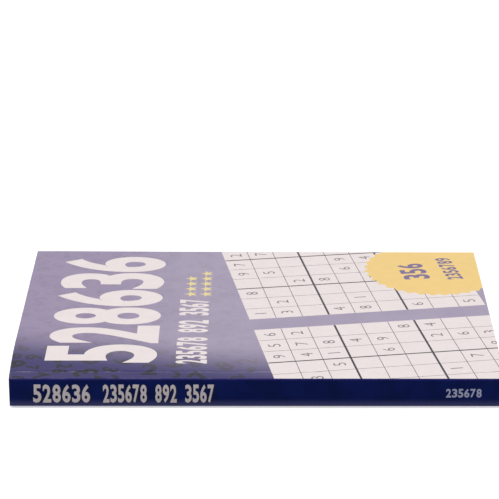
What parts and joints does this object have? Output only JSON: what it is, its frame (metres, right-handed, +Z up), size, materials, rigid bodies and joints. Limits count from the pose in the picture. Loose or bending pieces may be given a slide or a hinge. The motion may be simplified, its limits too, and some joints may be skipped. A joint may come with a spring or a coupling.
{
  "type": "sudoku puzzle book",
  "caption": "A5 perfect-bound paperback puzzle book with a laminated card cover on scored hinges, a glued spine that folds open at the middle, and leaves that fan out.",
  "frame": {"origin": "on the table under the middle of the closed book, at the back cover's outer face", "axes": "+X along the spine from head to tail, +Y from the spine to the fore-edge, +Z up through the front cover"},
  "size_m": [0.21, 0.148, 0.0126],
  "materials": {
    "cover_card": "indigo print under gloss film laminate",
    "spine_card": "navy print under gloss film laminate",
    "page_paper": "uncoated wood-pulp paper, matt",
    "hot_melt_glue": "set hot-melt glue, satin"
  },
  "bodies": {
    "back_half": {"back_hinge_strip": "cover_card", "spine_back_half": "spine_card", "spine_glue_back_half": "hot_melt_glue", "back_side_glue": "hot_melt_glue", "section_09": "page_paper", "section_10": "page_paper", "section_11": "page_paper", "section_12": "page_paper", "section_13": "page_paper", "leaf_104": "page_paper"},
    "front_half": {"front_hinge_strip": "cover_card", "spine_front_half": "spine_card", "spine_glue_front_half": "hot_melt_glue", "front_side_glue": "hot_melt_glue", "leaf_001": "page_paper", "section_01": "page_paper", "section_02": "page_paper", "section_03": "page_paper", "section_04": "page_paper", "section_05": "page_paper"},
    "front_cover": {"front_cover": "cover_card"},
    "back_cover": {"back_cover": "cover_card"},
    "leaf_041": {"leaf_041": "page_paper"},
    "leaf_042": {"leaf_042": "page_paper"},
    "leaf_043": {"leaf_043": "page_paper"},
    "leaf_044": {"leaf_044": "page_paper"},
    "leaf_045": {"leaf_045": "page_paper"},
    "leaf_046": {"leaf_046": "page_paper"},
    "leaf_047": {"leaf_047": "page_paper"},
    "leaf_048": {"leaf_048": "page_paper"},
    "leaf_049": {"leaf_049": "page_paper"},
    "leaf_050": {"leaf_050": "page_paper"},
    "leaf_051": {"leaf_051": "page_paper"},
    "leaf_052": {"leaf_052": "page_paper"},
    "leaf_053": {"leaf_053": "page_paper"},
    "leaf_054": {"leaf_054": "page_paper"},
    "leaf_055": {"leaf_055": "page_paper"},
    "leaf_056": {"leaf_056": "page_paper"},
    "leaf_057": {"leaf_057": "page_paper"},
    "leaf_058": {"leaf_058": "page_paper"},
    "leaf_059": {"leaf_059": "page_paper"},
    "leaf_060": {"leaf_060": "page_paper"},
    "leaf_061": {"leaf_061": "page_paper"},
    "leaf_062": {"leaf_062": "page_paper"},
    "leaf_063": {"leaf_063": "page_paper"},
    "leaf_064": {"leaf_064": "page_paper"}
  },
  "joints": [
    {"name": "middle_opening", "type": "hinge", "parent": "back_half", "child": "front_half", "pos_m": [0, -0.07405, 0.00632], "axis": [1, 0, 0], "range_deg": [0, 180]},
    {"name": "front_cover_turn", "type": "hinge", "parent": "front_half", "child": "front_cover", "pos_m": [0, -0.066, 0.01267], "axis": [1, 0, 0], "range_deg": [0, 179.9]},
    {"name": "back_cover_turn", "type": "hinge", "parent": "back_half", "child": "back_cover", "pos_m": [0, -0.066, -0.00025], "axis": [-1, 0, 0], "range_deg": [0, 179.9]},
    {"name": "leaf_041_turn", "type": "hinge", "parent": "back_half", "child": "leaf_041", "pos_m": [0, -0.07405, 0.00632], "axis": [1, 0, 0], "range_deg": [0, 180]},
    {"name": "leaf_042_turn", "type": "hinge", "parent": "back_half", "child": "leaf_042", "pos_m": [0, -0.07405, 0.00632], "axis": [1, 0, 0], "range_deg": [0, 179]},
    {"name": "leaf_043_turn", "type": "hinge", "parent": "back_half", "child": "leaf_043", "pos_m": [0, -0.07405, 0.00632], "axis": [1, 0, 0], "range_deg": [0, 177]},
    {"name": "leaf_044_turn", "type": "hinge", "parent": "back_half", "child": "leaf_044", "pos_m": [0, -0.07405, 0.00632], "axis": [1, 0, 0], "range_deg": [0, 175]},
    {"name": "leaf_045_turn", "type": "hinge", "parent": "back_half", "child": "leaf_045", "pos_m": [0, -0.07405, 0.00632], "axis": [1, 0, 0], "range_deg": [0, 173]},
    {"name": "leaf_046_turn", "type": "hinge", "parent": "back_half", "child": "leaf_046", "pos_m": [0, -0.07405, 0.00632], "axis": [1, 0, 0], "range_deg": [0, 171]},
    {"name": "leaf_047_turn", "type": "hinge", "parent": "back_half", "child": "leaf_047", "pos_m": [0, -0.07405, 0.00632], "axis": [1, 0, 0], "range_deg": [0, 168]},
    {"name": "leaf_048_turn", "type": "hinge", "parent": "back_half", "child": "leaf_048", "pos_m": [0, -0.07405, 0.00632], "axis": [1, 0, 0], "range_deg": [0, 165]},
    {"name": "leaf_049_turn", "type": "hinge", "parent": "back_half", "child": "leaf_049", "pos_m": [0, -0.07405, 0.00632], "axis": [1, 0, 0], "range_deg": [0, 162]},
    {"name": "leaf_050_turn", "type": "hinge", "parent": "back_half", "child": "leaf_050", "pos_m": [0, -0.07405, 0.00632], "axis": [1, 0, 0], "range_deg": [0, 159]},
    {"name": "leaf_051_turn", "type": "hinge", "parent": "back_half", "child": "leaf_051", "pos_m": [0, -0.07405, 0.00632], "axis": [1, 0, 0], "range_deg": [0, 155]},
    {"name": "leaf_052_turn", "type": "hinge", "parent": "back_half", "child": "leaf_052", "pos_m": [0, -0.07405, 0.00632], "axis": [1, 0, 0], "range_deg": [0, 152]},
    {"name": "leaf_053_turn", "type": "hinge", "parent": "back_half", "child": "leaf_053", "pos_m": [0, -0.07405, 0.00632], "axis": [1, 0, 0], "range_deg": [0, 29]},
    {"name": "leaf_054_turn", "type": "hinge", "parent": "back_half", "child": "leaf_054", "pos_m": [0, -0.07405, 0.00632], "axis": [1, 0, 0], "range_deg": [0, 26]},
    {"name": "leaf_055_turn", "type": "hinge", "parent": "back_half", "child": "leaf_055", "pos_m": [0, -0.07405, 0.00632], "axis": [1, 0, 0], "range_deg": [0, 22]},
    {"name": "leaf_056_turn", "type": "hinge", "parent": "back_half", "child": "leaf_056", "pos_m": [0, -0.07405, 0.00632], "axis": [1, 0, 0], "range_deg": [0, 19]},
    {"name": "leaf_057_turn", "type": "hinge", "parent": "back_half", "child": "leaf_057", "pos_m": [0, -0.07405, 0.00632], "axis": [1, 0, 0], "range_deg": [0, 16]},
    {"name": "leaf_058_turn", "type": "hinge", "parent": "back_half", "child": "leaf_058", "pos_m": [0, -0.07405, 0.00632], "axis": [1, 0, 0], "range_deg": [0, 13]},
    {"name": "leaf_059_turn", "type": "hinge", "parent": "back_half", "child": "leaf_059", "pos_m": [0, -0.07405, 0.00632], "axis": [1, 0, 0], "range_deg": [0, 10]},
    {"name": "leaf_060_turn", "type": "hinge", "parent": "back_half", "child": "leaf_060", "pos_m": [0, -0.07405, 0.00632], "axis": [1, 0, 0], "range_deg": [0, 8]},
    {"name": "leaf_061_turn", "type": "hinge", "parent": "back_half", "child": "leaf_061", "pos_m": [0, -0.07405, 0.00632], "axis": [1, 0, 0], "range_deg": [0, 6]},
    {"name": "leaf_062_turn", "type": "hinge", "parent": "back_half", "child": "leaf_062", "pos_m": [0, -0.07405, 0.00632], "axis": [1, 0, 0], "range_deg": [0, 4]},
    {"name": "leaf_063_turn", "type": "hinge", "parent": "back_half", "child": "leaf_063", "pos_m": [0, -0.07405, 0.00632], "axis": [1, 0, 0], "range_deg": [0, 2]},
    {"name": "leaf_064_turn", "type": "hinge", "parent": "back_half", "child": "leaf_064", "pos_m": [0, -0.07405, 0.00632], "axis": [1, 0, 0], "range_deg": [0, 1]}
  ],
  "couplings": [
    {"joint": "leaf_041_turn", "follows": "middle_opening", "ratio": 0.997},
    {"joint": "leaf_042_turn", "follows": "middle_opening", "ratio": 0.991},
    {"joint": "leaf_043_turn", "follows": "middle_opening", "ratio": 0.983},
    {"joint": "leaf_044_turn", "follows": "middle_opening", "ratio": 0.972},
    {"joint": "leaf_045_turn", "follows": "middle_opening", "ratio": 0.961},
    {"joint": "leaf_046_turn", "follows": "middle_opening", "ratio": 0.947},
    {"joint": "leaf_047_turn", "follows": "middle_opening", "ratio": 0.932},
    {"joint": "leaf_048_turn", "follows": "middle_opening", "ratio": 0.916},
    {"joint": "leaf_049_turn", "follows": "middle_opening", "ratio": 0.899},
    {"joint": "leaf_050_turn", "follows": "middle_opening", "ratio": 0.88},
    {"joint": "leaf_051_turn", "follows": "middle_opening", "ratio": 0.861},
    {"joint": "leaf_052_turn", "follows": "middle_opening", "ratio": 0.84},
    {"joint": "leaf_053_turn", "follows": "middle_opening", "ratio": 0.16},
    {"joint": "leaf_054_turn", "follows": "middle_opening", "ratio": 0.139},
    {"joint": "leaf_055_turn", "follows": "middle_opening", "ratio": 0.12},
    {"joint": "leaf_056_turn", "follows": "middle_opening", "ratio": 0.101},
    {"joint": "leaf_057_turn", "follows": "middle_opening", "ratio": 0.084},
    {"joint": "leaf_058_turn", "follows": "middle_opening", "ratio": 0.068},
    {"joint": "leaf_059_turn", "follows": "middle_opening", "ratio": 0.053},
    {"joint": "leaf_060_turn", "follows": "middle_opening", "ratio": 0.039},
    {"joint": "leaf_061_turn", "follows": "middle_opening", "ratio": 0.028},
    {"joint": "leaf_062_turn", "follows": "middle_opening", "ratio": 0.017},
    {"joint": "leaf_063_turn", "follows": "middle_opening", "ratio": 0.009},
    {"joint": "leaf_064_turn", "follows": "middle_opening", "ratio": 0.003}
  ]
}
